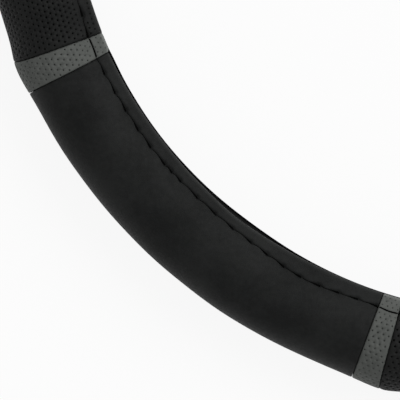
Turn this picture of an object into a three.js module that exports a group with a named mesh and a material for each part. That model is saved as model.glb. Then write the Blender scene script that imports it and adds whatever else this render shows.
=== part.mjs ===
// A slip-on steering wheel cover: sewn leather panels over a moulded rubber ring.
// Sizes are in millimetres. The ring's axis is Z, its middle is the origin and its front face is up.
// A section is drawn in the plane of radius and height, then swept round the ring.

import * as THREE from "three";

// Ring
const outerRadius = 192.5;
const tubeHalfWidth = 16.7;
const tubeHalfHeight = 16.5;
const ringSides = 56;
const clearance = 0.3;

// Leather, its lips and the hem that is folded under each lip
const leatherThickness = 1.2;
const stitchTurn = 125; // degrees round the tube, from its outermost line to the stitch line
const lipLength = 5.2; // from the stitch line to the middle of the rounded edge
const hemMargin = 2; // how far the hem runs back past the stitches
const edgeRetreat = 1.1; // how far the smooth leather draws back from the lip half way along

// Groove that the stitches pull in
const grooveHalfWidth = 1.5;
const grooveDepth = 0.8;

// Cross seams between the panels, where the leather is turned in and stands higher
const seamGap = 0.3;
const turnedEdge = 1.2;
const turnedEdgeDip = 0.7;
const seamRise = 1.2;
const seamRisePlateau = 1.7; // degrees on each side of a band's middle
const seamRiseRun = 3.8; // degrees over which the rise fades out

// Panels: four smooth and four perforated ones, with a grey band at each change
const quadrants = 4;
const bandFromSmoothMiddle = 24.8; // degrees
const bandInnerWidth = 7;
const bandOuterWidth = 11.5;

// Rubber core, open towards the middle of the ring
const coreArcs = 8;
const rubberThickness = 2.4;
const flangeThickness = 1.6;
const ribHeight = 0.6;
const ribHalfWidth = 0.9;
const ribSpacing = 45; // degrees round the channel

// Stitching
const threadRadius = 0.3;
const threadSides = 3;
const stitchPitch = 7.6;
const stitchArch = 0.3;

// Flats on the crown and on the sole of the tube
const flatHalfTurn = 8; // degrees

const { degToRad, radToDeg } = THREE.MathUtils;

const tubeRadius = outerRadius - tubeHalfWidth;
const sideAngle = 360 / ringSides;
const quadrantAngle = 360 / quadrants;
const hemThickness = 2 * leatherThickness;
const coreDepth = leatherThickness + clearance;
const flangeDepth = hemThickness + clearance;
const channelDepth = coreDepth + rubberThickness;
const lipDirection = tubeTangent(stitchTurn);
const hemTurn = stitchTurn - turnFor(hemMargin);
const leatherEdge = onLip(lipLength, leatherThickness).x - leatherThickness;
const flangeReach = reachTo(leatherEdge + flangeThickness / 2, flangeDepth + flangeThickness / 2);

function turnFor(length) {
  return radToDeg((2 * length) / (tubeHalfWidth + tubeHalfHeight));
}

function tubeTangent(turn) {
  const a = degToRad(turn);
  return new THREE.Vector2(-tubeHalfWidth * Math.sin(a), tubeHalfHeight * Math.cos(a)).normalize();
}

// A point of the section on the round part of the tube, a depth below the leather's surface.
function onTube(turn, depth) {
  const a = degToRad(turn);
  const surface = new THREE.Vector2(tubeHalfWidth * Math.cos(a), tubeHalfHeight * Math.sin(a));
  const tangent = tubeTangent(turn);
  const inwards = new THREE.Vector2(-tangent.y, tangent.x);
  return surface.addScaledVector(inwards, depth).add(new THREE.Vector2(tubeRadius, 0));
}

// A point of the section on the straight lip that runs on from the stitch line.
function onLip(reach, depth) {
  return onTube(stitchTurn, depth).addScaledVector(lipDirection, reach);
}

function reachTo(radius, depth) {
  return (radius - onTube(stitchTurn, depth).x) / lipDirection.x;
}

// The rounded end of a lip of a given thickness, from its outer face round to its inner one.
function roundedEnd(reach, depth, thickness, steps) {
  const half = thickness / 2;
  const points = [];
  for (let i = 0; i <= steps; i++) {
    const a = (Math.PI * i) / steps;
    points.push(onLip(reach + half * Math.sin(a), depth + half * (1 - Math.cos(a))));
  }
  return points;
}

// The whole outline from its front half: out along the outside, back along the inside.
function mirrored(outside, inside) {
  const rear = (p) => new THREE.Vector2(p.x, -p.y);
  const rearOutside = outside.slice(1).map(rear).reverse();
  const rearInside = inside.slice(0, -1).map(rear).reverse();
  return [...rearOutside, ...outside, ...inside, ...rearInside];
}

// The leather's outline at one place along a panel.
function leatherSection({ rise, dip, retreat }) {
  const reach = lipLength + retreat / lipDirection.x;
  const shoulder = stitchTurn - turnFor(grooveHalfWidth);
  const raised = [0, 28, 56, 90 - flatHalfTurn, 90 + flatHalfTurn];
  const outside = [
    ...raised.map((turn) => onTube(turn, dip - rise)),
    onTube(shoulder, dip),
    onTube(stitchTurn, dip + grooveDepth),
    onLip(grooveHalfWidth, dip),
    ...roundedEnd(reach, 0, hemThickness, 3),
  ];
  const inside = [
    onTube(hemTurn, hemThickness),
    onTube(hemTurn, leatherThickness),
    ...[90, 60, 30, 0].map((turn) => onTube(turn, leatherThickness)),
  ];
  return mirrored(outside, inside);
}

// A grip rib of the rubber, from the side nearer the lip to the far side.
function ribAt(turn) {
  const foot = turnFor(ribHalfWidth) * (tubeHalfWidth / (tubeHalfWidth - channelDepth));
  return [
    onTube(turn + foot, channelDepth),
    onTube(turn, channelDepth + ribHeight),
    onTube(turn - foot, channelDepth),
  ];
}

function coreSection() {
  const stepTurn = hemTurn - turnFor(clearance);
  const outside = [
    ...[0, 30, 60, 90, stepTurn].map((turn) => onTube(turn, coreDepth)),
    onTube(stepTurn, flangeDepth),
    ...roundedEnd(flangeReach, flangeDepth, flangeThickness, 2),
  ];
  const inside = [
    onTube(stitchTurn, flangeDepth + flangeThickness),
    onTube(ribSpacing * 2 + ribSpacing / 3, channelDepth),
    onTube(ribSpacing * 1.6, channelDepth),
    ...ribAt(ribSpacing),
    ...ribAt(0).slice(0, 2),
  ];
  return mirrored(outside, inside);
}

// The ring has flat sides, so between its corners a radius comes a little short.
function sideShare(angle) {
  const fromCorner = ((angle % sideAngle) + sideAngle) % sideAngle;
  return Math.cos(degToRad(sideAngle / 2)) / Math.cos(degToRad(fromCorner - sideAngle / 2));
}

function onRing(point, angle) {
  const radius = point.x * sideShare(angle);
  return new THREE.Vector3(
    radius * Math.cos(degToRad(angle)),
    radius * Math.sin(degToRad(angle)),
    point.y,
  );
}

function counterClockwise(outline) {
  return THREE.ShapeUtils.isClockWise(outline) ? [...outline].reverse() : outline;
}

// Joins outlines placed one after another round the ring into the surface of a solid.
function loft(outlines, placeds, closed) {
  const count = outlines[0].length;
  const indices = [];
  const last = closed ? placeds.length : placeds.length - 1;
  for (let i = 0; i < last; i++) {
    const here = i * count;
    const next = ((i + 1) % placeds.length) * count;
    for (let j = 0; j < count; j++) {
      const k = (j + 1) % count;
      indices.push(here + j, next + j, here + k);
      indices.push(here + k, next + j, next + k);
    }
  }
  if (!closed) {
    const end = (placeds.length - 1) * count;
    for (const [a, b, c] of THREE.ShapeUtils.triangulateShape(outlines[0], [])) indices.push(a, b, c);
    for (const [a, b, c] of THREE.ShapeUtils.triangulateShape(outlines.at(-1), [])) {
      indices.push(end + a, end + c, end + b);
    }
  }
  const geometry = new THREE.BufferGeometry().setFromPoints(placeds.flat());
  geometry.setIndex(indices);
  return geometry;
}

// A station is one place along a piece: angleAt gives its angle at a radius, outline its section.
function sweep(stations, closed = false) {
  const outlines = stations.map((station) => counterClockwise(station.outline));
  const placeds = stations.map((station, i) =>
    outlines[i].map((point) => onRing(point, station.angleAt(point.x))),
  );
  return loft(outlines, placeds, closed);
}

// The corners of the ring's flat sides that lie between two angles.
function cornersBetween(start, end) {
  const corners = [];
  for (let i = Math.ceil(start / sideAngle); i * sideAngle < end; i++) corners.push(i * sideAngle);
  return corners;
}

// How far round the tube a radius lies, from its outermost line.
function turnAt(radius) {
  return Math.acos(THREE.MathUtils.clamp((radius - tubeRadius) / tubeHalfWidth, -1, 1));
}

// A band narrows evenly on its way round the tube, from the outermost line to the lips.
function bandHalfAngle(radius) {
  const share = turnAt(radius) / turnAt(leatherEdge);
  const width = THREE.MathUtils.lerp(bandOuterWidth, bandInnerWidth, share);
  return radToDeg(width / 2 / radius);
}

const bandMiddles = [];
for (let i = 0; i < quadrants; i++) {
  const smoothMiddle = (i + 0.5) * quadrantAngle;
  bandMiddles.push(smoothMiddle - bandFromSmoothMiddle, smoothMiddle + bandFromSmoothMiddle);
}

function riseAt(angle) {
  const turned = (middle) => Math.abs(((angle - middle + 540) % 360) - 180);
  const away = Math.min(...bandMiddles.map(turned));
  return seamRise * (1 - THREE.MathUtils.smoothstep(away, seamRisePlateau, seamRisePlateau + seamRiseRun));
}

// A seam: a band's middle and the side of the band that it is on, -1 or 1.
function seamAngle(seam, radius, inset) {
  return seam.middle + seam.side * bandHalfAngle(radius) + radToDeg(inset / radius);
}

// The stations of a panel from one seam to the next, with its edges turned in at both.
function panelStations(from, to, retreatMost) {
  const start = seamAngle(from, tubeRadius, 0);
  const end = seamAngle(to, tubeRadius, 0);
  const margin = radToDeg((turnedEdge * 2) / tubeRadius);
  const stations = [];
  const add = (angleAt, dip) => {
    const angle = angleAt(tubeRadius);
    const along = (angle - start) / (end - start);
    const retreat = retreatMost * Math.sin(Math.PI * along) ** 2;
    stations.push({ angleAt, outline: leatherSection({ rise: riseAt(angle), dip, retreat }) });
  };
  add((radius) => seamAngle(from, radius, seamGap / 2), turnedEdgeDip);
  add((radius) => seamAngle(from, radius, seamGap / 2 + turnedEdge), 0);
  for (const corner of cornersBetween(start + margin, end - margin)) add(() => corner, 0);
  add((radius) => seamAngle(to, radius, -seamGap / 2 - turnedEdge), 0);
  add((radius) => seamAngle(to, radius, -seamGap / 2), turnedEdgeDip);
  return stations;
}

// Needle holes lie at every seam and evenly in between.
function stitchAngles(from, to) {
  const stitchRadius = onTube(stitchTurn, 0).x;
  const start = seamAngle(from, stitchRadius, 0);
  const end = seamAngle(to, stitchRadius, 0);
  const stitches = Math.max(1, Math.round((degToRad(end - start) * stitchRadius) / stitchPitch));
  return Array.from({ length: 2 * stitches }, (_, i) => start + ((end - start) * i) / (2 * stitches));
}

// One thread round the ring: down at each needle hole and arched between two holes.
function threadStations(angles, side) {
  const wall = Math.hypot(grooveHalfWidth, grooveDepth);
  const aboveGroove = ((threadRadius + clearance) * wall) / grooveHalfWidth;
  return angles.map((angle, i) => {
    const depth = grooveDepth - aboveGroove - (i % 2) * stitchArch;
    const middle = onTube(stitchTurn, depth);
    const circle = new THREE.EllipseCurve(middle.x, side * middle.y, threadRadius, threadRadius);
    return { angleAt: () => angle, outline: circle.getPoints(threadSides).slice(0, threadSides) };
  });
}

// The core is built as arcs, end to end, so that each one keeps to its C-shaped section.
function coreStations(arc) {
  const arcAngle = 360 / coreArcs;
  const start = arc * arcAngle;
  const end = start + arcAngle;
  const inset = (radius) => radToDeg(clearance / 2 / radius);
  const corners = cornersBetween(start, end).filter((corner) => corner > start + inset(leatherEdge));
  const angles = [
    (radius) => start + inset(radius),
    ...corners.map((corner) => () => corner),
    (radius) => end - inset(radius),
  ];
  return angles.map((angleAt) => ({ angleAt, outline: coreSection() }));
}

const looks = {
  smoothLeather: new THREE.MeshStandardMaterial({ color: 0x242424, roughness: 0.62 }),
  perforatedLeather: new THREE.MeshStandardMaterial({ color: 0x232423, roughness: 0.66 }),
  greyLeather: new THREE.MeshStandardMaterial({ color: 0x575957, roughness: 0.66 }),
  rubber: new THREE.MeshStandardMaterial({ color: 0x0b0b0b, roughness: 0.85 }),
  thread: new THREE.MeshStandardMaterial({ color: 0x0e0e0e, roughness: 0.7 }),
};

const cover = new THREE.Group();

function addPiece(name, geometry, material) {
  geometry.computeVertexNormals();
  const mesh = new THREE.Mesh(geometry, material);
  mesh.name = name;
  cover.add(mesh);
}

for (let i = 0; i < coreArcs; i++) {
  addPiece("rubber_core_" + (i + 1), sweep(coreStations(i)), looks.rubber);
}

const stitches = [];
for (let i = 0; i < quadrants; i++) {
  const [before, after] = bandMiddles.slice(2 * i, 2 * i + 2);
  const next = i + 1 < quadrants ? bandMiddles[2 * i + 2] : bandMiddles[0] + 360;
  const seams = [
    { middle: before, side: -1 },
    { middle: before, side: 1 },
    { middle: after, side: -1 },
    { middle: after, side: 1 },
    { middle: next, side: -1 },
  ];
  const pieces = [
    ["grey_band_" + (2 * i + 1), looks.greyLeather, 0],
    ["smooth_panel_" + (i + 1), looks.smoothLeather, edgeRetreat],
    ["grey_band_" + (2 * i + 2), looks.greyLeather, 0],
    ["perforated_panel_" + (i + 1), looks.perforatedLeather, 0],
  ];
  pieces.forEach(([name, look, retreat], j) => {
    addPiece(name, sweep(panelStations(seams[j], seams[j + 1], retreat)), look);
    stitches.push(...stitchAngles(seams[j], seams[j + 1]));
  });
}

addPiece("front_stitching", sweep(threadStations(stitches, 1), true), looks.thread);
addPiece("rear_stitching", sweep(threadStations(stitches, -1), true), looks.thread);

export default cover;
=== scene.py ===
"""The looks of a sewn steering wheel cover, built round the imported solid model.

Shapes are worked out in millimetres, with the ring's axis on Z, and written to Blender in metres.
A place on the leather has two coordinates: an angle round the ring, in degrees, and a girth, the way
along the section in millimetres, counted from the outermost line and positive on the front face.
"""

import math
from collections import namedtuple

import bmesh
import bpy
import numpy as np
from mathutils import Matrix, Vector
from mathutils.geometry import delaunay_2d_cdt, tessellate_polygon
from mathutils.kdtree import KDTree


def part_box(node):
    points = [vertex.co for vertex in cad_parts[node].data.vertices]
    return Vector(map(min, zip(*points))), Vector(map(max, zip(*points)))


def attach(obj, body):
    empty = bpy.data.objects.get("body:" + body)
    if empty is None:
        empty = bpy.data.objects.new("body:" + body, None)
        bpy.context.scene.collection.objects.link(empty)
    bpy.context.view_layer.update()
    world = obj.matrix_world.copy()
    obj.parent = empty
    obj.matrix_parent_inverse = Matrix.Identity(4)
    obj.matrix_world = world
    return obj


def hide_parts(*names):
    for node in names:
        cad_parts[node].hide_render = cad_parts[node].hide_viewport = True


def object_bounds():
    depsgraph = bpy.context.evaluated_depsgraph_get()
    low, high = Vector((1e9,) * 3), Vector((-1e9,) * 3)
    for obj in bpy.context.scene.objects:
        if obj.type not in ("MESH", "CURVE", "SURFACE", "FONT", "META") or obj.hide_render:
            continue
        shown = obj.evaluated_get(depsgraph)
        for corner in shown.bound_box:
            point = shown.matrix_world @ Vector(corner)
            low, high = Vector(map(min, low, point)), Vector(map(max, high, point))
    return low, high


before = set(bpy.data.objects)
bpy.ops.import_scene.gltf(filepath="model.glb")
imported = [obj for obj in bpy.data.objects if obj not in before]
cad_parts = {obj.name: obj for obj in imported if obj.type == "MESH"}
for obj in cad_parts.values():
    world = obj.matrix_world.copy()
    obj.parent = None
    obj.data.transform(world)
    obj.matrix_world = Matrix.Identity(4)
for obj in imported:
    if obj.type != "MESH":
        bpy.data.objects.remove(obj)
cad_box = [list(corner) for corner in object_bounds()]

METRE = 0.001

# Leather
LEATHER = 1.2
HEM = 2 * LEATHER
EDGE_RADIUS = HEM / 2
LIP = 5.2
HEM_MARGIN = 2.0

# Rubber core
CLEARANCE = 0.3
CORE_DEPTH = LEATHER + CLEARANCE
FLANGE_DEPTH = HEM + CLEARANCE
FLANGE = 1.6
RUBBER = 2.4
CHANNEL_START = 0.15  # radians short of the stitch line
RIB_HEIGHT = 0.6
RIB_WIDTH = 0.54
RIB_TURNS = (0, 45, 90)  # degrees round the front half, which the rear half mirrors

# The ring and its section
OUTER_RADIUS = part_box("rubber_core_1")[1].x / METRE + CORE_DEPTH
REST_HEIGHT = cad_box[0][2] / METRE
TUBE_HALF_WIDTH = 16.7
TUBE_HALF_HEIGHT = 16.5
TUBE_RADIUS = OUTER_RADIUS - TUBE_HALF_WIDTH
GIRTH_RADIUS = (TUBE_HALF_WIDTH + TUBE_HALF_HEIGHT) / 2
STITCH_TURN = math.radians(125)

# Girths of the stitch line, of the lip's fold and of the hem under it
STITCH_GIRTH = STITCH_TURN * GIRTH_RADIUS
EDGE_GIRTH = STITCH_GIRTH + LIP
UNDERSIDE_GIRTH = EDGE_GIRTH + math.pi * EDGE_RADIUS
HEM_END_GIRTH = UNDERSIDE_GIRTH + LIP + HEM_MARGIN

# Panels, with each band's widths at the outermost line and at the lip
SMOOTH_MIDDLES = [45 + 90 * i for i in range(4)]
BAND_FROM_SMOOTH = 24.68
BAND_MIDDLES = [m + side * BAND_FROM_SMOOTH for m in SMOOTH_MIDDLES for side in (-1, 1)]
BAND_WIDTHS_BEFORE_SMOOTH = (12.3, 7.25)
BAND_WIDTHS_AFTER_SMOOTH = (10.5, 7.05)

# Seams: bow and lean are in degrees
SEAM_BOW = 0.17
LEAN_BEFORE_SMOOTH = 0.22
LEAN_AFTER_SMOOTH = 0.06
HALF_GAP = 0.27 / 2
SCALLOP = 0.1

# How far from its seam each kind of leather turns in, and how deep
TURNED_EDGES = {"smooth": (0.8, 0.55), "grey": (0.8, 0.5), "perforated": (1.15, 0.75)}

# Seam bulge, highest a little to the perforated side of each band's middle
BULGE_BEFORE_SMOOTH = 1.35
BULGE_AFTER_SMOOTH = 1.6
BULGE_FROM_MIDDLE_BEFORE = 1.2
BULGE_FROM_MIDDLE_AFTER = 1.8
BULGE_TO_SMOOTH = 3.2
BULGE_TO_PERFORATED = 2.2

# Unevenness of the hand work. A bump is its height in millimetres, its place in degrees from the middle
# of the nearest smooth panel and its width in degrees.
LIP_BASE = -0.12
LIP_BUMPS = ((0.58, 2.3, 3.9), (0.16, -5.0, 3.0), (-0.10, 14.0, 5.0), (-0.46, -31.0, 6.0))
RUBBER_BASE = -0.12
RUBBER_BUMPS = ((0.16, -11.6, 5.0), (-0.46, 5.4, 6.0), (-0.10, 14.0, 5.0), (-0.22, -22.5, 1.8))
STITCH_BASE = -0.35
STITCH_BUMPS = (
    (0.42, -10.0, 5.0),
    (1.42, 13.6, 5.1),
    (0.40, -24.5, 3.0),
    (-0.90, -31.0, 5.0),
    (0.75, 25.0, 1.8),
)
SWELL_BASE = 0.12
SWELL_BUMPS = ((-0.25, 14.5, 6.0), (0.26, -19.5, 4.5), (-0.22, -31.0, 3.5))

# The lip is drawn back from a smooth panel's first seam on, and less past its middle
LIP_DRAWN = 0.62
LIP_GIVEN_BACK = 0.44
DRAWN_FROM = (-23.8, -23.4)  # degrees from the panel's middle
GIVEN_BACK_FROM = (6, 21)  # degrees from the panel's middle

# Slow waves of the leather: share of the height, waves round the ring, waves round the tube, phase
WAVE_HEIGHT = 0.05
WAVES = ((1.0, 17, 1.7, 0.8), (0.8, 29, -2.3, 2.1), (0.6, 47, 3.1, 0.0), (0.5, 11, -3.7, 4.0))

# Perforation: how far the rows are turned in degrees, and a hole's radius and depth
HOLE_PITCH = 2.04
HOLE_ROW = 1.77
HOLE_SIDES = 8
HOLE_TO_SEAM = 0.3
HOLE_TO_STITCHES = 0.6
Punch = namedtuple("Punch", "turn radius depth")
PUNCHES = {"perforated": Punch(-2.7, 0.37, 0.9), "grey": Punch(3.4, 0.29, 0.65)}

# Stitches
STITCH_PITCH = 7.6
FIRST_STITCH = 2.2  # degrees
SPARE_HOLE = 218.3  # degrees
HOLE_JITTER = 0.1  # degrees
LATE_SHIFT = 1.1  # degrees, most at the late stitch of a smooth panel
LATE_STITCH = 11
LATE_SPREAD = 3.8
GREY_BOW = 0.2
GREY_BORDER = (1.15, 1.45)  # degrees from a band's middle
STITCH_SLANT = 0.34
LATE_SLANT = -0.42
SLANT_PEAK = 0.3
LATE_OFFSET = 0.20
FIRST_PART_DROP = 0.26

# Where the first part of a smooth panel's stitches starts and ends, in degrees from its middle
FIRST_PART_START = (-24, -22)
FIRST_PART_END = (9, 14)

# Relief that the stitches leave in the leather
GROOVE_DEPTH = 0.30
GROOVE_WIDTH = 1.4
PULL_DEPTH = 0.12
PULL_WIDTH = 2.4
LIP_SWELL = 0.22
CREASE_DEPTH = 0.36
CREASE_WIDTH = 0.30
WEDGE_DEPTH = 0.65
WEDGE_WIDTH = 0.40
WEDGE_REACH = (0.6, 4.8)
DENT_DEPTH = 0.45
DENT_LENGTH = 0.45
DENT_WIDTH = 0.5
TICK_AHEAD = 0.8
TICK_LENGTH = 0.5
TICK_ACROSS = 0.6
TICK_WIDTH = 0.33

# Thread
THREAD_RADIUS = 0.54
THREAD_SIDES = 10
THREAD_STATIONS = 23
STRANDS = 3
STRAND_RELIEF = 0.10
TWISTS = 3.2  # in one stitch

# Half the width of thread that shows: where a stitch starts, how it grows and on grey leather
SHOWN_FIRST = 0.02
SHOWN_RISE = 0.50
SHOWN_ON_GREY = 0.46

# How far the thread follows the crease down, and its dive into the needle holes
CREASE_SHARE = 0.65
DIVE_DEPTH = 0.9
DIVE_SHARE = 0.06

# Steps of the meshes, and the leather's rows beside the stitch line, on the lips and beside the seams
FIELD_STEPS = {"smooth": 0.95, "grey": 1.5, "perforated": 2.4}
FINE_STEP = 0.4
COARSE_STEP = 1.1
BORDER_STEP = 1.6
STITCH_ROWS = (-2.2, -1.5, -1.0, -0.7, -0.45, -0.25, -0.08, 0.08, 0.24, 0.4, 0.6, 0.85, 1.2, 1.6)
LIP_ROWS = (2.1, 3.0, 4.0, 4.7)
SEAM_ROWS = (0.15, 0.35, 0.6, 0.9, 1.5)
INNER_ROWS = 25
CORE_STEP = 1.25  # degrees

# Looks: the darkest and the lightest tone of each material
SMOOTH_TONES = ((0.0084, 0.0090, 0.0088), (0.0152, 0.0160, 0.0156))
PUNCHED_TONES = ((0.0084, 0.0088, 0.0087), (0.0150, 0.0154, 0.0150))
GREY_TONES = ((0.077, 0.082, 0.077), (0.102, 0.107, 0.101))
# Rubber painted darker than it is, as the shade on the flange tip beside the leather's edge
SHADED_RUBBER_TONES = ((0.0008, 0.0008, 0.0008), (0.0014, 0.0014, 0.0014))
# Black thread painted darker than it is, as the shade in the dashes at its needle holes
DARKENED_THREAD_TONES = ((0.0008, 0.0008, 0.0008), (0.0018, 0.0018, 0.0018))
# Lighter rubber inside the channel, whose tone also paints the sheen that its low specular leaves out
CHANNEL_TONE_WITH_SHEEN = (0.07, 0.07, 0.07)
WHITE = (1.0, 1.0, 1.0)
FLOOR_TONE = (0.85, 0.85, 0.85)
# Painted highlight along the lip's fold edge: how much lighter the leather is painted there, and where that
# band lies from the edge
FOLD_HIGHLIGHT_GAIN = 1.6
FOLD_HIGHLIGHT_FROM_EDGE = 0.25
FOLD_HIGHLIGHT_WIDTH = 0.55
# How far past the flange tip the painted shade gives way to the channel's lighter tone
TIP_SHADE_TO_SHEEN_FROM_EDGE = (1.5, 4.0)
LEATHER_ROUGHNESS = 0.6
GRAIN = 0.4

# The photograph's frame: the ring's middle in pixels, the pixel's real size and the part's turn
PIXELS = 400
RING_MIDDLE_PX = (524.2, -142.9)
PIXEL_SIZE = 0.3524
PHOTO_TURN = 3.6
CAMERA_HEIGHT = 3000.0
SENSOR = 36.0

# Stage, in metres and watts. The key light comes from the photograph's right and upper side.
FLOOR_HALF_SIZE = 30.0
FLOOR_GAP = 0.00005
FLOOR_WHITENESS = 0.90
WORLD_STRENGTH = 0.55
KEY_RIGHT_AND_UP = (0.80, 0.48)
KEY_FORWARD = 1.1
KEY_DISTANCE = 2.2
KEY_SIZE = 1.6
KEY_POWER = 30

# A seam's band middle, the side of the band that it is on and its scallop
Seam = namedtuple("Seam", "middle side scallop")

# A panel's node, its kind of leather and the seams where it starts and ends
Panel = namedtuple("Panel", "node kind first second")


def smoothstep(low, high, x):
    t = np.clip((x - low) / (high - low), 0.0, 1.0)
    return t * t * (3 - 2 * t)


def bump(x, middle, width):
    return np.exp(-(((x - middle) / width) ** 2))


def turned(angle, middle):
    """The signed angle from middle to angle, between -180 and 180 degrees."""
    return (angle - middle + 180) % 360 - 180


def from_nearest(angle, middles):
    """The signed angle from the nearest of some middles."""
    stacked = np.stack([turned(angle, m) for m in middles])
    pick = np.argmin(np.abs(stacked), axis=0)
    return np.take_along_axis(stacked, pick[None], axis=0)[0]


def uneven(nearest, base, bumps):
    """A base height and its bumps, at an angle from the middle of the nearest smooth panel."""
    return base + sum(height * bump(nearest, middle, width) for height, middle, width in bumps)


def section_frame():
    """Place, inward normal and lip direction of the section at the front stitch line."""
    across = TUBE_HALF_WIDTH * math.sin(STITCH_TURN)
    up = TUBE_HALF_HEIGHT * math.cos(STITCH_TURN)
    along = np.array([-across, up]) / math.hypot(across, up)
    place = np.array([
        TUBE_RADIUS + TUBE_HALF_WIDTH * math.cos(STITCH_TURN),
        TUBE_HALF_HEIGHT * math.sin(STITCH_TURN),
    ])
    return place, np.array([-along[1], along[0]]), along


STITCH_PLACE, STITCH_INWARD, LIP_ALONG = section_frame()
LEATHER_EDGE = (STITCH_PLACE + STITCH_INWARD * EDGE_RADIUS + LIP_ALONG * LIP)[0] - EDGE_RADIUS
STITCH_RADIUS = STITCH_PLACE[0]


def tube_place(turn, depth):
    """Place in the section and inward normal on the round part of the tube, a depth below its surface."""
    across = TUBE_HALF_WIDTH * np.sin(turn)
    up = TUBE_HALF_HEIGHT * np.cos(turn)
    length = np.hypot(across, up)
    inward = np.stack([-up / length, -across / length], axis=-1)
    surface = np.stack([
        TUBE_RADIUS + TUBE_HALF_WIDTH * np.cos(turn),
        TUBE_HALF_HEIGHT * np.sin(turn),
    ], axis=-1)
    return surface + inward * np.asarray(depth)[..., None], inward


def lip_place(reach, depth):
    """Place on the straight lip, on the front half of the section."""
    reach = np.asarray(reach)[..., None]
    return STITCH_PLACE + LIP_ALONG * reach + STITCH_INWARD * np.asarray(depth)[..., None]


def edge_retreat(angle):
    """How far the leather draws back from its plain lip: most near the middle of each smooth panel."""
    nearest = from_nearest(angle, SMOOTH_MIDDLES)
    drawn = LIP_DRAWN - LIP_GIVEN_BACK * smoothstep(*GIVEN_BACK_FROM, nearest)
    past_first_seam = smoothstep(*DRAWN_FROM, nearest)
    return past_first_seam * drawn + uneven(nearest, LIP_BASE, LIP_BUMPS)


def leather_base(angle, girth):
    """Place in the section and inward normal of the plain leather surface, hem underside included."""
    size = np.abs(girth)
    lip = LIP + edge_retreat(angle) / LIP_ALONG[0]
    place, inward = tube_place(np.minimum(size, STITCH_GIRTH) / GIRTH_RADIUS, np.zeros_like(size))
    on_lip = (size > STITCH_GIRTH) & (size <= EDGE_GIRTH)
    on_edge = (size > EDGE_GIRTH) & (size <= UNDERSIDE_GIRTH)
    under = size > UNDERSIDE_GIRTH
    reach = (size - STITCH_GIRTH) / LIP * lip
    place[on_lip] = lip_place(reach, np.zeros_like(size))[on_lip]
    inward[on_lip] = STITCH_INWARD
    around = np.clip((size - EDGE_GIRTH) / EDGE_RADIUS, 0, math.pi)[..., None]
    outward = -STITCH_INWARD * np.cos(around) + LIP_ALONG * np.sin(around)
    middle = lip_place(lip, np.full_like(size, EDGE_RADIUS))
    place[on_edge] = (middle + outward * EDGE_RADIUS)[on_edge]
    inward[on_edge] = -outward[on_edge]
    back = lip - (size - UNDERSIDE_GIRTH) / LIP * lip
    flat = lip_place(np.maximum(back, 0), np.full_like(size, HEM))
    past = np.maximum(-back, 0)
    curved, _ = tube_place(STITCH_TURN - past / (GIRTH_RADIUS - HEM), np.full_like(size, HEM))
    place[under] = np.where((back > 0)[..., None], flat, curved)[under]
    inward[under] = -STITCH_INWARD
    return place, inward


def section_radius(girth):
    """Distance from the ring's axis at a girth, at angle 0."""
    girth = np.atleast_1d(np.asarray(girth, dtype=float))
    place, _ = leather_base(np.zeros_like(girth), girth)
    return place[..., 0]


def seam_angle(seam, girth):
    """Angle of a seam at a girth.

    A band is narrower at its lips, bows towards the smooth panel and leans back round the outside.
    Its seam to perforated leather is scalloped.
    """
    to_smooth = -seam.side if seam.scallop else seam.side
    outer, inner = BAND_WIDTHS_BEFORE_SMOOTH if to_smooth > 0 else BAND_WIDTHS_AFTER_SMOOTH
    lean = LEAN_BEFORE_SMOOTH if to_smooth > 0 else LEAN_AFTER_SMOOTH
    girth = np.atleast_1d(np.asarray(girth, dtype=float))
    share = np.minimum(np.abs(girth) / EDGE_GIRTH, 1)
    width = outer + (inner - outer) * share
    bow = to_smooth * SEAM_BOW * np.sin(math.pi * share) - lean * (1 - smoothstep(0, 1, share))
    ripple = seam.scallop * np.sin(2 * math.pi * girth / HOLE_PITCH)
    return seam.middle + bow + np.degrees((seam.side * width / 2 + ripple) / section_radius(girth))


def bulge(angle):
    """Height of the seam allowances under the leather near each band."""
    total = np.zeros_like(angle)
    for i, middle in enumerate(BAND_MIDDLES):
        if i % 2 == 0:
            height, past = BULGE_BEFORE_SMOOTH, turned(angle, middle) + BULGE_FROM_MIDDLE_BEFORE
        else:
            height, past = BULGE_AFTER_SMOOTH, BULGE_FROM_MIDDLE_AFTER - turned(angle, middle)
        width = np.where(past > 0, BULGE_TO_SMOOTH, BULGE_TO_PERFORATED)
        total = np.maximum(total, height * bump(past, 0, width))
    return total


def groove_girth(angle):
    """Girth of the stitch line, which strays as a hand guides it."""
    wander = uneven(from_nearest(angle, SMOOTH_MIDDLES), STITCH_BASE, STITCH_BUMPS)
    return STITCH_GIRTH - wander / -LIP_ALONG[0]


def hole_angles(start, end, kind, rng):
    """Needle holes from one seam to the next, a little uneven."""
    if kind == "grey":
        return [start]
    span = end - start
    count = max(1, round(math.radians(span) * STITCH_RADIUS / STITCH_PITCH))
    steps = np.arange(count)
    even = start + span * steps / count
    if kind == "smooth":
        pitch = (span - FIRST_STITCH) / (count - 1)
        even = np.where(steps == 0, start, start + FIRST_STITCH + (steps - 1) * pitch)
        even = even + LATE_SHIFT * bump(steps, LATE_STITCH, LATE_SPREAD) * (steps > 0)
    jitter = rng.uniform(-HOLE_JITTER, HOLE_JITTER, count) * (steps > 0)
    return list(even + jitter)


def panels():
    """Every panel in its order round the ring."""
    made = []
    for i in range(len(SMOOTH_MIDDLES)):
        before, after = BAND_MIDDLES[2 * i : 2 * i + 2]
        seams = [
            Seam(before, -1, SCALLOP),
            Seam(before, 1, 0.0),
            Seam(after, -1, 0.0),
            Seam(after, 1, SCALLOP),
            Seam(before + 90, -1, SCALLOP),
        ]
        made.append(Panel(f"grey_band_{2 * i + 1}", "grey", seams[0], seams[1]))
        made.append(Panel(f"smooth_panel_{i + 1}", "smooth", seams[1], seams[2]))
        made.append(Panel(f"grey_band_{2 * i + 2}", "grey", seams[2], seams[3]))
        made.append(Panel(f"perforated_panel_{i + 1}", "perforated", seams[3], seams[4]))
    return made


PANELS = panels()


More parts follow.
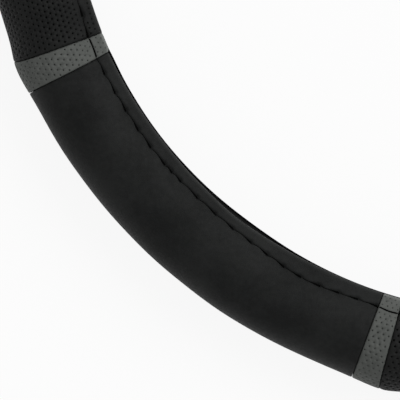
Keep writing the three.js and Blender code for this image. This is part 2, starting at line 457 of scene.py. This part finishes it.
def all_holes(side):
    """Needle holes round one face, from the first seam on, each with the bow of the stitch after it."""
    rng = np.random.default_rng(12 - side)
    angles, bows = [], []
    for panel in PANELS:
        start = seam_angle(panel.first, STITCH_GIRTH)[0]
        end = seam_angle(panel.second, STITCH_GIRTH)[0]
        made = hole_angles(start, end, panel.kind, rng)
        if side == 1 and start < SPARE_HOLE < end:
            made = sorted([*made, SPARE_HOLE])
        bow = 0.0
        if panel.kind == "grey":
            bow = GREY_BOW if panel.first.scallop else -GREY_BOW
        angles += made
        bows += [bow] * len(made)
    return np.array(angles), np.array(bows)


HOLES = {side: all_holes(side) for side in (1, -1)}


def along_stitch(angle, side):
    """Distances back to the last needle hole and on to the next one, and the bow of the stitch."""
    angles, bows = HOLES[side]
    holes = np.concatenate([angles, angles[:1] + 360])
    wrapped = holes[0] + (angle - holes[0]) % 360
    after = np.clip(np.searchsorted(holes, wrapped, side="right"), 1, len(holes) - 1)
    behind = np.radians(wrapped - holes[after - 1]) * STITCH_RADIUS
    ahead = np.radians(holes[after] - wrapped) * STITCH_RADIUS
    return behind, ahead, bows[after - 1]


def stray(angle, behind, ahead, bow):
    """How far a stitch lies from its line towards the lip: bowed over a grey band, slanted elsewhere.

    A stitch starts nearer the lip than it ends on the first part of a smooth panel, and farther from
    the lip past that part.
    """
    share = behind / np.maximum(behind + ahead, 1e-6)
    nearest = from_nearest(angle, SMOOTH_MIDDLES)
    first_part = smoothstep(*FIRST_PART_START, nearest) * (1 - smoothstep(*FIRST_PART_END, nearest))
    slant = LATE_SLANT + (STITCH_SLANT - LATE_SLANT) * first_part
    falling = np.clip((share - SLANT_PEAK) / (1 - SLANT_PEAK), 0, 1)
    shape = smoothstep(0, SLANT_PEAK, share) * (1 - falling)
    slanted = slant * shape + LATE_OFFSET - FIRST_PART_DROP * first_part
    return np.where(bow == 0, slanted, bow * np.sin(math.pi * share))


def groove_depth(angle, girth, grey):
    """How far the pull of the thread draws the leather in, round the stitch line, and the lip's swell."""
    across = np.abs(girth) - groove_girth(angle)
    depth = GROOVE_DEPTH * (1 - 0.5 * grey) * bump(across, 0, GROOVE_WIDTH)
    for side in (1, -1):
        behind, ahead, _ = along_stitch(angle, side)
        pull = PULL_DEPTH * np.cos(2 * math.pi * behind / (behind + ahead)) * bump(across, 0, PULL_WIDTH)
        depth += np.where(girth * side > 0, pull * (1 - 0.6 * grey), 0)
    lip_share = np.clip(across / LIP, 0, 1)
    return depth - LIP_SWELL * np.sin(math.pi * lip_share)


def stitch_depth(angle, girth, grey):
    """Depth of the crease along the thread and of the dents at its needle holes."""
    across = np.abs(girth) - groove_girth(angle)
    depth = np.zeros_like(across)
    for side in (1, -1):
        behind, ahead, bow = along_stitch(angle, side)
        off = across - stray(angle, behind, ahead, bow)
        taper = 1 - smoothstep(*WEDGE_REACH, ahead)
        wedge = WEDGE_DEPTH * taper * bump(off, 0, CREASE_WIDTH + WEDGE_WIDTH * taper)
        start = DENT_DEPTH * bump(behind, 0, DENT_LENGTH) * bump(off, 0, DENT_WIDTH)
        tick = DENT_DEPTH * bump(ahead, TICK_AHEAD, TICK_LENGTH) * bump(across, TICK_ACROSS, TICK_WIDTH)
        crease = CREASE_DEPTH * bump(off, 0, CREASE_WIDTH)
        dent = crease + (1 - 0.65 * grey) * (np.maximum(wedge, start) + tick)
        depth += np.where(girth * side > 0, dent, 0)
    return depth


def relief(angle, girth, kind):
    """How far the stitches draw the leather's outer face in."""
    grey = 1.0 if kind == "grey" else 0.0
    fade = 1 - smoothstep(EDGE_GIRTH - 0.3, EDGE_GIRTH + 1.2, np.abs(girth))
    return (groove_depth(angle, girth, grey) + stitch_depth(angle, girth, grey)) * fade


def swell(angle, girth):
    """Slow unevenness of the stretched leather."""
    a = np.radians(angle)
    g = girth / GIRTH_RADIUS
    wave = sum(share * np.sin(ring * a + tube * g + phase) for share, ring, tube, phase in WAVES)
    return WAVE_HEIGHT * wave + uneven(from_nearest(angle, SMOOTH_MIDDLES), SWELL_BASE, SWELL_BUMPS)


def from_seams(angle, girth, panel):
    """Distance from the nearer end of a panel, along the ring."""
    start = seam_angle(panel.first, girth)
    end = seam_angle(panel.second, girth)
    return np.radians(np.minimum(angle - start, end - angle)) * section_radius(girth) - HALF_GAP


def seam_dip(angle, girth, panel):
    """The turned-in rounding at both ends of a panel, flatter on the lips and round the outside."""
    edge, dip = TURNED_EDGES[panel.kind]
    near = np.clip(1 - from_seams(angle, girth, panel) / edge, 0, 1)
    flat = 1 - 0.5 * smoothstep(STITCH_GIRTH - 1, STITCH_GIRTH + 1, np.abs(girth))
    flat = flat - 0.65 * bump(girth, 0, 9)
    return dip * flat * (1 - np.sqrt(np.maximum(1 - near**2, 0)))


def to_world(angle, girth, place):
    """World places of places in the section, with the rear half turned over and flat where it rests."""
    a = np.radians(angle)
    height = np.maximum(place[..., 1] * np.where(girth < 0, -1.0, 1.0), REST_HEIGHT)
    return np.stack([place[..., 0] * np.cos(a), place[..., 0] * np.sin(a), height], axis=-1)


def leather_outside(angle, girth, panel, extra=0.0):
    """World places of the leather's outer face, in millimetres."""
    place, inward = leather_base(angle, girth)
    size = np.abs(girth)
    body = 1 - smoothstep(STITCH_GIRTH - 7.5, STITCH_GIRTH - 1.0, size)
    outer = 1 - smoothstep(EDGE_GIRTH + 1.0, UNDERSIDE_GIRTH - 0.4, size)
    depth = relief(angle, girth, panel.kind) - (bulge(angle) + swell(angle, girth)) * body
    depth = depth + seam_dip(angle, girth, panel) * outer + extra
    return to_world(angle, girth, place + inward * depth[..., None])


def leather_inside(angle, girth):
    turn = np.abs(girth) / GIRTH_RADIUS
    place, _ = tube_place(turn, np.full_like(turn, LEATHER))
    return to_world(angle, girth, place)


def perforation(panel, punch):
    """Middles of the punched holes of a panel, as pairs of way along the ring and girth."""
    start = seam_angle(panel.first, 0)[0]
    end = seam_angle(panel.second, 0)[0]
    half = math.radians(end - start) / 2 * TUBE_RADIUS + 6
    c, s = math.cos(math.radians(punch.turn)), math.sin(math.radians(punch.turn))
    rows = int((EDGE_GIRTH + half) / HOLE_ROW) + 2
    columns = int((EDGE_GIRTH + half) / HOLE_PITCH) + 2
    i, j = np.meshgrid(np.arange(-columns, columns + 1), np.arange(-rows, rows + 1))
    x = (i + 0.5 * (j % 2)) * HOLE_PITCH
    y = j * HOLE_ROW
    along, girth = (x * c - y * s).ravel(), (x * s + y * c).ravel()
    angle = (start + end) / 2 + np.degrees(along / TUBE_RADIUS)
    inside = from_seams(angle, girth, panel)
    clear = np.abs(np.abs(girth) - groove_girth(angle)) > punch.radius + HOLE_TO_STITCHES
    keep = (inside > punch.radius + HOLE_TO_SEAM) & clear & (np.abs(girth) < EDGE_GIRTH + 0.2)
    return np.stack([along[keep], girth[keep]], axis=-1)


def end_along(seam, girth, middle, inset):
    """Way along the ring of a panel's end at a girth, inset from the seam."""
    angle = seam_angle(seam, girth) + np.degrees(inset / section_radius(girth))
    return np.radians(angle - middle) * TUBE_RADIUS


def girth_samples():
    """Girths of the points along a panel's ends, closer together at the lips."""
    body = np.linspace(-STITCH_GIRTH + 2, STITCH_GIRTH - 2, 150)
    lip = np.linspace(STITCH_GIRTH - 1.5, EDGE_GIRTH, 16)
    edge = np.linspace(EDGE_GIRTH, UNDERSIDE_GIRTH, 9)[1:]
    under = np.linspace(UNDERSIDE_GIRTH, HEM_END_GIRTH, 5)[1:]
    front = np.concatenate([lip, edge, under])
    return np.concatenate([-front[::-1], body, front])


def row_at(along, girth):
    return np.stack([along, np.full_like(along, girth)], axis=-1)


def field_points(kind, half):
    """Free points of the outer face: a plain field, closer rows at the stitch lines and the lips."""
    step = FIELD_STEPS[kind]
    field = np.meshgrid(
        np.arange(-half, half, step),
        np.arange(-STITCH_GIRTH + 2.5, STITCH_GIRTH - 2.5, step),
    )
    points = [np.stack(field, axis=-1).reshape(-1, 2)]
    fine = np.arange(-half, half, FINE_STEP)
    coarse = np.arange(-half, half, COARSE_STEP)
    edge = np.linspace(EDGE_GIRTH, UNDERSIDE_GIRTH, 7)[1:-1] - STITCH_GIRTH
    for side in (-1, 1):
        points += [row_at(fine, side * (STITCH_GIRTH + offset)) for offset in STITCH_ROWS]
        points += [row_at(coarse, side * (STITCH_GIRTH + offset)) for offset in (*LIP_ROWS, *edge)]
    return np.concatenate(points)


def follow_wander(points, middle):
    """Shifts the fine rows so that they lie along the straying stitch line."""
    angle = middle + np.degrees(points[:, 0] / TUBE_RADIUS)
    side = np.sign(points[:, 1])
    size = np.abs(points[:, 1])
    near = bump(size, STITCH_GIRTH, 2.4)
    return np.stack([points[:, 0], side * (size + near * (groove_girth(angle) - STITCH_GIRTH))], axis=-1)


def clear_of_holes(points, holes, radius):
    if not len(holes):
        return points
    tree = KDTree(len(holes))
    for i, (x, y) in enumerate(holes):
        tree.insert((x, y, 0), i)
    tree.balance()
    far = [tree.find((x, y, 0))[2] > radius for x, y in points]
    return points[np.array(far)]


def free_points(panel, girths, middle, half):
    """Points inside a panel's borders: the field, the fine rows and rows beside both seams."""
    free = [follow_wander(field_points(panel.kind, half), middle)]
    rows = girths[np.abs(girths) < UNDERSIDE_GIRTH]
    for inset in SEAM_ROWS:
        for seam, sign in ((panel.first, 1), (panel.second, -1)):
            place = end_along(seam, rows, middle, sign * (HALF_GAP + inset))
            free.append(np.stack([place, rows], axis=-1))
    free = np.concatenate(free)
    angle = middle + np.degrees(free[:, 0] / TUBE_RADIUS)
    inside = from_seams(angle, free[:, 1], panel)
    return free[(inside > 0.1) & (np.abs(free[:, 1]) < HEM_END_GIRTH - 0.5)]


def outer_sheet(panel, holes, hole_radius):
    """The outer face in flat coordinates, with each hole's own triangles kept apart.

    Gives its points, its triangles, the outlines that own each triangle, the number of points along an
    end, the number of steps between the ends and the panel's middle angle.
    """
    middle = (seam_angle(panel.first, 0)[0] + seam_angle(panel.second, 0)[0]) / 2
    girths = girth_samples()
    left = np.stack([end_along(panel.first, girths, middle, HALF_GAP), girths], axis=-1)
    right = np.stack([end_along(panel.second, girths, middle, -HALF_GAP), girths], axis=-1)
    count = max(4, round((right[0, 0] - left[0, 0]) / BORDER_STEP))
    share = np.linspace(0, 1, count + 1)[1:-1, None]
    bottom = left[0] + (right[0] - left[0]) * share
    top = right[-1] + (left[-1] - right[-1]) * share
    border = np.concatenate([left[::-1], bottom, right, top])
    half = max(abs(left[:, 0]).max(), abs(right[:, 0]).max())
    free = clear_of_holes(free_points(panel, girths, middle, half), holes, hole_radius + 0.12)
    flat = [Vector(p) for p in border]
    faces = [list(range(len(border)))]
    for x, y in holes:
        first_vertex = len(flat)
        for k in range(HOLE_SIDES):
            a = 2 * math.pi * (k + 0.5) / HOLE_SIDES
            flat.append(Vector((x + hole_radius * math.cos(a), y + hole_radius * math.sin(a))))
        faces.append(list(range(first_vertex, len(flat))))
    flat += [Vector(p) for p in free]
    places, _, triangles, _, _, owners = delaunay_2d_cdt(flat, [], faces, 1, 1e-6)
    return np.array([tuple(p) for p in places]), triangles, owners, len(left), count, middle


def hole_floors(floors, base):
    """Points of the outer face that are let in for punched holes, and faces of the floors and walls."""
    used = sorted({v for triangle in floors for v in triangle})
    floor_of = {v: base + i for i, v in enumerate(used)}
    faces = [[floor_of[v] for v in triangle] for triangle in floors]
    edges = [edge for a, b, c in floors for edge in ((a, b), (b, c), (c, a))]
    known = set(edges)
    faces += [[a, b, floor_of[b], floor_of[a]] for a, b in edges if (b, a) not in known]
    return used, faces


def inner_side(panel, ends, count, middle, base):
    """Inner face of a panel between its hems, the faces that join it to the outer one, and its two ends."""
    limit = STITCH_GIRTH - HEM_MARGIN
    girths = np.linspace(-limit, limit, INNER_ROWS)
    rows = []
    for girth in girths:
        low = end_along(panel.first, girth, middle, HALF_GAP)[0]
        high = end_along(panel.second, girth, middle, -HALF_GAP)[0]
        along = np.linspace(low, high, count + 1)
        angle = middle + np.degrees(along / TUBE_RADIUS)
        rows.append(leather_inside(angle, np.full_like(along, girth)))
    wide = count + 1
    faces = []
    for r in range(INNER_ROWS - 1):
        for k in range(count):
            a = base + r * wide + k
            faces.append([a, a + wide, a + wide + 1, a + 1])
    # The border runs down the first end, along the rear hem, up the second end and back along the front.
    left = list(range(ends))[::-1]
    rear = [ends + k for k in range(count - 1)]
    right = [ends + count - 1 + k for k in range(ends)]
    front = [2 * ends + count - 1 + k for k in range(count - 1)][::-1]
    rear_row = [left[0], *rear, right[0]]
    front_row = [left[-1], *front, right[-1]]
    rear_inner = [base + k for k in range(wide)]
    front_inner = [base + (INNER_ROWS - 1) * wide + k for k in range(wide)]
    for k in range(count):
        faces.append([rear_row[k], rear_inner[k], rear_inner[k + 1], rear_row[k + 1]])
        faces.append([front_row[k + 1], front_inner[k + 1], front_inner[k], front_row[k]])
    left_inner = [base + r * wide for r in range(INNER_ROWS)]
    right_inner = [base + r * wide + count for r in range(INNER_ROWS)]
    return np.concatenate(rows), faces, [(left, left_inner), (right, right_inner)]


def end_faces(outer, inner, vertices):
    """Fills a panel's cut end between its outer and inner borders."""
    loop = outer + inner[::-1]
    flat = [Vector((math.hypot(p[0], p[1]), p[2], 0)) for p in vertices[loop]]
    return [[loop[i] for i in triangle] for triangle in tessellate_polygon([flat])]


def leather_panel(panel, punch, material):
    """A closed piece of leather: outer face with its punched holes, cut edges and inner face."""
    holes = perforation(panel, punch) if punch else np.zeros((0, 2))
    hole_radius = punch.radius if punch else 0.0
    flat, triangles, owners, ends, count, middle = outer_sheet(panel, holes, hole_radius)
    angle = middle + np.degrees(flat[:, 0] / TUBE_RADIUS)
    vertices = [leather_outside(angle, flat[:, 1], panel)]
    total = len(flat)
    faces = [list(triangle) for triangle, owner in zip(triangles, owners) if len(owner) < 2]
    floors = [triangle for triangle, owner in zip(triangles, owners) if len(owner) > 1]
    if floors:
        used, floor_faces = hole_floors(floors, total)
        vertices.append(leather_outside(angle[used], flat[used, 1], panel, punch.depth))
        faces += floor_faces
        total += len(used)
    inside, inner_faces, panel_ends = inner_side(panel, ends, count, middle, total)
    vertices = np.concatenate([*vertices, inside])
    faces += inner_faces
    for outer, inner in panel_ends:
        faces += end_faces(outer, inner, vertices)
    piece = mesh_object(panel.node + "_leather", vertices, faces, material)
    # The band just inside the lip's fold edge is marked for a painted highlight
    radius, around = polar(piece.data)
    from_edge = radius - LEATHER_EDGE - edge_retreat(around)
    mark(piece.data, "painted_fold_highlight", bump(from_edge, FOLD_HIGHLIGHT_FROM_EDGE, FOLD_HIGHLIGHT_WIDTH))
    return piece


def mesh_object(name, vertices, faces, material):
    """A mesh object at the origin, with its faces turned outwards."""
    mesh = bpy.data.meshes.new(name)
    mesh.from_pydata((vertices * METRE).tolist(), [], faces)
    clean(mesh)
    mesh.shade_smooth()
    obj = bpy.data.objects.new(name, mesh)
    bpy.context.scene.collection.objects.link(obj)
    obj.data.materials.append(material)
    return obj


def clean(mesh):
    """Joins coinciding points, drops loose ones and turns every face outwards."""
    work = bmesh.new()
    work.from_mesh(mesh)
    bmesh.ops.remove_doubles(work, verts=work.verts, dist=1e-7)
    loose = [v for v in work.verts if not v.link_faces]
    bmesh.ops.delete(work, geom=loose, context="VERTS")
    bmesh.ops.recalc_face_normals(work, faces=work.faces)
    work.to_mesh(mesh)
    work.free()


def polar(mesh):
    """Radius in millimetres and angle in degrees of each point of a mesh."""
    places = np.empty(len(mesh.vertices) * 3)
    mesh.vertices.foreach_get("co", places)
    x, y, _ = places.reshape(-1, 3).T / METRE
    return np.hypot(x, y), np.degrees(np.arctan2(y, x))


def mark(mesh, name, values):
    """Keeps a number for each point of a mesh, for its material."""
    marked = mesh.attributes.new(name, "FLOAT", "POINT")
    marked.data.foreach_set("value", values)


def tube_faces(stations, sides, closed, base=0):
    """Faces through rings of points: closed into a ring, or with flat ends."""
    faces = []
    for i in range(stations if closed else stations - 1):
        here, there = base + i * sides, base + (i + 1) % stations * sides
        for k in range(sides):
            n = (k + 1) % sides
            faces.append([here + k, there + k, there + n, here + n])
    if not closed:
        faces.append([base + k for k in range(sides)][::-1])
        faces.append([base + (stations - 1) * sides + k for k in range(sides)])
    return faces


def flange_tip(angle):
    """Radius of the rubber's edge, which strays a little."""
    return LEATHER_EDGE + uneven(from_nearest(angle, SMOOTH_MIDDLES), RUBBER_BASE, RUBBER_BUMPS)


def core_section(angle):
    """One section of the rubber core, as a closed row of places that starts at the outermost line."""
    tip = float(flange_tip(np.array(angle)))
    half = FLANGE / 2
    middle_depth = FLANGE_DEPTH + half
    reach = (tip + half - lip_place(0, middle_depth)[0]) / LIP_ALONG[0]
    step = STITCH_TURN - (HEM_MARGIN + CLEARANCE) / GIRTH_RADIUS
    outer = [tube_place(np.array(t), CORE_DEPTH)[0] for t in np.linspace(0, step, 16)]
    outer.append(tube_place(np.array(step), FLANGE_DEPTH)[0])
    outer.append(lip_place(0, FLANGE_DEPTH))
    for t in np.linspace(0, math.pi, 7):
        outer.append(lip_place(reach + half * math.sin(t), middle_depth - half * math.cos(t)))
    outer.append(lip_place(0, FLANGE_DEPTH + FLANGE))
    inner = []
    for t in np.linspace(STITCH_TURN - CHANNEL_START, 0, 40):
        depth = CORE_DEPTH + RUBBER
        for rib in RIB_TURNS:
            off = abs(t - math.radians(rib)) * (GIRTH_RADIUS - depth)
            depth += RIB_HEIGHT * float(bump(off, 0, RIB_WIDTH))
        inner.append(tube_place(np.array(t), depth)[0])
    front = np.array(outer + inner)
    rear = front[1:-1] * np.array([1, -1])
    return np.concatenate([front, rear[::-1]])


def rubber_core(material):
    rings = []
    for angle in np.arange(0, 360, CORE_STEP):
        radius, height = core_section(angle).T
        a = math.radians(angle)
        rings.append(np.stack([radius * math.cos(a), radius * math.sin(a), height], axis=-1))
    faces = tube_faces(len(rings), len(rings[0]), closed=True)
    ring = mesh_object("rubber_ring", np.concatenate(rings), faces, material)
    radius, around = polar(ring.data)
    # Share of the channel's lighter tone with its painted sheen, against the painted shade at the flange
    # tip
    mark(ring.data, "channel", smoothstep(*TIP_SHADE_TO_SHEEN_FROM_EDGE, radius - flange_tip(around)))
    return ring


def surface_frame(angle, girth):
    """Places, outward normals and across directions of the plain leather near the stitch line."""
    side = np.sign(girth)
    place, inward = leather_base(angle, np.abs(girth))
    a = np.radians(angle)
    out = np.stack([-inward[:, 0] * np.cos(a), -inward[:, 0] * np.sin(a), -inward[:, 1] * side], axis=-1)
    centre = np.stack([place[:, 0] * np.cos(a), place[:, 0] * np.sin(a), place[:, 1] * side], axis=-1)
    along = np.stack([-np.sin(a), np.cos(a), np.zeros_like(a)], axis=-1)
    return centre, out, np.cross(out, along)


def on_grey(angle):
    """How far a place on the stitch line is on a grey band, from 0 to 1."""
    return 1 - smoothstep(*GREY_BORDER, np.abs(from_nearest(angle, BAND_MIDDLES)))


def stitch_tubes(side):
    """Every stitch of one stitch line as rings of points: from a needle hole, across, and down again.

    On black leather a stitch starts sunk in the crease and rises to its far needle hole.
    On grey leather about a quarter of its thickness stands out all the way.
    """
    angles, bows = HOLES[side]
    ends = np.append(angles[1:], angles[0] + 360)
    share = np.linspace(0, 1, THREAD_STATIONS)
    turns = 2 * math.pi * np.arange(THREAD_SIDES) / THREAD_SIDES
    twist = 2 * math.pi * share * TWISTS
    strands = np.cos(STRANDS * (turns[None, :] - twist[:, None]))
    radius = THREAD_RADIUS * (1 + STRAND_RELIEF * strands)
    up = (radius * np.cos(turns))[..., None]
    sideways = (radius * np.sin(turns))[..., None]
    dive = np.clip(1 - np.minimum(share, 1 - share) / DIVE_SHARE, 0, 1)
    tubes = []
    for start, end, bow in zip(angles, ends, bows):
        angle = start + (end - start) * np.clip(share, 0.002, 0.998)
        grey = on_grey(angle)
        span = math.radians(end - start) * STITCH_RADIUS
        girth = side * (groove_girth(angle) + stray(angle, span * share, span * (1 - share), bow))
        shown = SHOWN_FIRST + SHOWN_RISE * smoothstep(0.2, 0.88, share)
        shown = shown * (1 - grey) + SHOWN_ON_GREY * grey
        sunk = np.sqrt(THREAD_RADIUS**2 - shown**2)
        depth = groove_depth(angle, girth, grey) + CREASE_SHARE * stitch_depth(angle, girth, grey)
        centre, out, across = surface_frame(angle, girth)
        middle = centre - out * (depth + sunk + DIVE_DEPTH * dive)[:, None]
        tubes.append(middle[:, None] + out[:, None] * up + across[:, None] * sideways)
    return tubes


def stitching(name, side, material):
    tubes = stitch_tubes(side)
    faces = []
    for i in range(len(tubes)):
        base = i * THREAD_STATIONS * THREAD_SIDES
        faces += tube_faces(THREAD_STATIONS, THREAD_SIDES, closed=False, base=base)
    return mesh_object(name, np.concatenate(tubes).reshape(-1, 3), faces, material)


class Graph:
    """The nodes of a material or a world, with short ways to add and feed them."""

    def __init__(self, owner):
        owner.use_nodes = True
        self.nodes = owner.node_tree.nodes
        self.links = owner.node_tree.links

    def add(self, kind, inputs=(), **settings):
        """A new node's outputs. Its settings come before its inputs, because they change the sockets."""
        node = self.nodes.new("ShaderNode" + kind)
        for name, value in settings.items():
            setattr(node, name, value)
        self.feed(node, dict(inputs))
        return node.outputs

    def feed(self, node, inputs):
        """Gives each input a value, or the output of another node."""
        for name, value in inputs.items():
            if isinstance(value, bpy.types.NodeSocket):
                self.links.new(value, node.inputs[name])
            else:
                node.inputs[name].default_value = value

    def noise(self, coords, scale, detail, roughness=0.5):
        inputs = {"Vector": coords, "Scale": scale, "Detail": detail, "Roughness": roughness}
        return self.add("TexNoise", inputs)["Fac"]

    def ramp(self, source, low, high, first, last):
        inputs = {"Value": source, "From Min": low, "From Max": high, "To Min": first, "To Max": last}
        return self.add("MapRange", inputs)["Result"]

    def mixed(self, factor, first, second):
        return self.add("Mix", {"Factor": factor, "A": first, "B": second}, data_type="RGBA")["Result"]

    def marked(self, name):
        """The numbers that mark() keeps under a name."""
        return self.add("Attribute", attribute_name=name)["Fac"]

    def bumped(self, height, strength, distance):
        return self.add("Bump", {"Height": height, "Strength": strength, "Distance": distance})["Normal"]


def opaque(tone):
    return (*tone, 1)


def new_material(name):
    material = bpy.data.materials.new(name)
    graph = Graph(material)
    return material, graph, graph.nodes["Principled BSDF"]


def leather_material(name, dark, light):
    """Matte leather: slow and mottled tone changes, a painted highlight along the lip's fold, fine grain
    cells and pores.
    """
    material, graph, shader = new_material(name)
    coords = graph.add("TexCoord")["Object"]
    slow = graph.noise(coords, 55, 2)
    mottle = graph.noise(coords, 420, 6, 0.72)
    both = graph.add("Math", {0: slow, 1: mottle}, operation="ADD")[0]
    tone = graph.mixed(graph.ramp(both, 0.78, 1.22, 0.0, 1.0), opaque(dark), opaque(light))
    # The lip's fold is painted lighter here, as a highlight
    fold_highlight_tone = opaque(value * FOLD_HIGHLIGHT_GAIN for value in light)
    fine = graph.noise(coords, 900, 4, 0.6)
    cells = graph.add("TexVoronoi", {"Vector": coords, "Scale": 1500}, feature="DISTANCE_TO_EDGE")
    creases = graph.ramp(cells["Distance"], 0.0, 0.18, 0.0, 1.0)
    height = graph.add("Math", {0: creases, 1: 0.6, 2: fine}, operation="MULTIPLY_ADD")[0]
    graph.feed(shader, {
        "Base Color": graph.mixed(graph.marked("painted_fold_highlight"), tone, fold_highlight_tone),
        "Normal": graph.bumped(height, GRAIN, 0.00012),
        "Roughness": graph.ramp(fine, 0.3, 0.7, LEATHER_ROUGHNESS - 0.05, LEATHER_ROUGHNESS + 0.07),
        "Specular IOR Level": 0.1,
        "Sheen Weight": 0.03,
        "Sheen Roughness": 0.35,
    })
    return material


def rubber_material():
    """Dull black rubber, painted darker than it is at the flange tip as shade, and lighter inside the
    channel, where the lighter tone also paints the sheen that the low specular leaves out.
    """
    material, graph, shader = new_material("moulded_rubber")
    coords = graph.add("TexCoord")["Object"]
    tone = graph.mixed(graph.noise(coords, 80, 2), *map(opaque, SHADED_RUBBER_TONES))
    graph.feed(shader, {
        "Base Color": graph.mixed(graph.marked("channel"), tone, opaque(CHANNEL_TONE_WITH_SHEEN)),
        "Normal": graph.bumped(graph.noise(coords, 2500, 2), 0.3, 0.00006),
        "Roughness": 0.8,
        "Specular IOR Level": 0.01,
    })
    return material


def thread_material():
    material, graph, shader = new_material("black_thread")
    fine = graph.noise(graph.add("TexCoord")["Object"], 4000, 3)
    graph.feed(shader, {
        # Darker than black thread, which paints the shade of the dashes at its needle holes
        "Base Color": graph.mixed(fine, *map(opaque, DARKENED_THREAD_TONES)),
        "Normal": graph.bumped(fine, 0.4, 0.00005),
        "Roughness": 0.75,
        "Specular IOR Level": 0.02,
    })
    return material


def floor_material():
    """A pale floor that shows white to the camera and keeps a faint shadow of the object."""
    material, graph, shader = new_material("pale_floor")
    graph.feed(shader, {"Base Color": opaque(FLOOR_TONE), "Roughness": 0.9, "Specular IOR Level": 0.0})
    white = graph.add("Emission", {"Color": opaque(WHITE), "Strength": 1.0})["Emission"]
    path = graph.add("LightPath")
    seen = path["Is Camera Ray"]
    for ray in ("Is Glossy Ray", "Is Transmission Ray"):
        seen = graph.add("Math", {0: seen, 1: path[ray]}, operation="ADD", use_clamp=True)[0]
    share = graph.add("Math", {0: seen, 1: FLOOR_WHITENESS}, operation="MULTIPLY")[0]
    mix = graph.add("MixShader", {"Fac": share, 1: shader.outputs["BSDF"], 2: white})
    graph.feed(graph.nodes["Material Output"], {"Surface": mix["Shader"]})
    return material


def add_floor():
    half = FLOOR_HALF_SIZE
    z = cad_box[0][2] - FLOOR_GAP
    corners = [(-half, -half, z), (half, -half, z), (half, half, z), (-half, half, z)]
    mesh = bpy.data.meshes.new("floor")
    mesh.from_pydata(corners, [], [(0, 1, 2, 3)])
    floor = bpy.data.objects.new("floor", mesh)
    bpy.context.scene.collection.objects.link(floor)
    floor.data.materials.append(floor_material())


def add_world():
    """Even light from all round, white to the camera."""
    world = bpy.data.worlds.new("studio")
    bpy.context.scene.world = world
    graph = Graph(world)
    light = graph.nodes["Background"]
    graph.feed(light, {"Color": opaque(WHITE), "Strength": WORLD_STRENGTH})
    white = graph.add("Background", {"Color": opaque(WHITE), "Strength": 1.0})["Background"]
    camera_ray = graph.add("LightPath")["Is Camera Ray"]
    mix = graph.add("MixShader", {"Fac": camera_ray, 1: light.outputs["Background"], 2: white})
    graph.feed(graph.nodes["World Output"], {"Surface": mix["Shader"]})


def add_key_light():
    """A square soft light that looks at the ring's middle."""
    lamp = bpy.data.lights.new("key_light", "AREA")
    lamp.shape = "SQUARE"
    lamp.size = KEY_SIZE
    lamp.energy = KEY_POWER
    obj = bpy.data.objects.new("key_light", lamp)
    towards = Vector((*photo_direction(*KEY_RIGHT_AND_UP), KEY_FORWARD)).normalized()
    obj.location = towards * KEY_DISTANCE
    obj.rotation_mode = "QUATERNION"
    obj.rotation_quaternion = (-towards).to_track_quat("-Z", "Y")
    bpy.context.scene.collection.objects.link(obj)


def photo_direction(right, up):
    """A direction given along the photograph's right and up, in the part's frame."""
    a = math.radians(-PHOTO_TURN)
    return np.array([right * math.cos(a) - up * math.sin(a), right * math.sin(a) + up * math.cos(a)])


def add_camera():
    """Looks straight at the front face, at the piece of the ring that the photograph shows."""
    middle = PIXELS / 2
    right = (middle - RING_MIDDLE_PX[0]) * PIXEL_SIZE
    up = (RING_MIDDLE_PX[1] - middle) * PIXEL_SIZE
    x, y = photo_direction(right, up)
    data = bpy.data.cameras.new("camera")
    data.sensor_width = SENSOR
    data.lens = SENSOR * CAMERA_HEIGHT / (PIXELS * PIXEL_SIZE)
    data.clip_end = 100
    camera = bpy.data.objects.new("camera", data)
    camera.location = (x * METRE, y * METRE, CAMERA_HEIGHT * METRE)
    camera.rotation_euler = (0, 0, math.radians(-PHOTO_TURN))
    bpy.context.scene.collection.objects.link(camera)
    bpy.context.scene.camera = camera


def cut_size(panel):
    """Width, length and area in metres of a panel as it is cut, hems included."""
    girths = np.linspace(-HEM_END_GIRTH, HEM_END_GIRTH, 201)
    spans = np.radians(seam_angle(panel.second, girths) - seam_angle(panel.first, girths))
    lengths = spans * section_radius(np.minimum(np.abs(girths), EDGE_GIRTH))
    width = 2 * HEM_END_GIRTH
    return (width * METRE, lengths.max() * METRE), lengths.mean() * width * METRE**2


def dress_leather():
    """Makes every leather panel and hides the solid that it stands for."""
    materials = {
        "smooth": leather_material("smooth_leather", *SMOOTH_TONES),
        "perforated": leather_material("punched_leather", *PUNCHED_TONES),
        "grey": leather_material("grey_leather", *GREY_TONES),
    }
    for panel in PANELS:
        punch = PUNCHES.get(panel.kind)
        if panel.kind == "grey" and not panel.first.scallop:
            punch = punch._replace(turn=-punch.turn)
        piece = leather_panel(panel, punch, materials[panel.kind])
        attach(piece, "root")
        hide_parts(panel.node)
        flat, area = cut_size(panel)


def dress_core():
    ring = rubber_core(rubber_material())
    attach(ring, "root")
    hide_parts(*[f"rubber_core_{i}" for i in range(1, 9)])


def dress_stitching():
    material = thread_material()
    for side, face in ((1, "front"), (-1, "rear")):
        thread = stitching(face + "_thread", side, material)
        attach(thread, "root")
        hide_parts(face + "_stitching")


add_camera()
add_world()
add_floor()
add_key_light()
bpy.context.scene.view_settings.view_transform = "Standard"
dress_leather()
dress_core()
dress_stitching()
bpy.context.view_layer.update()
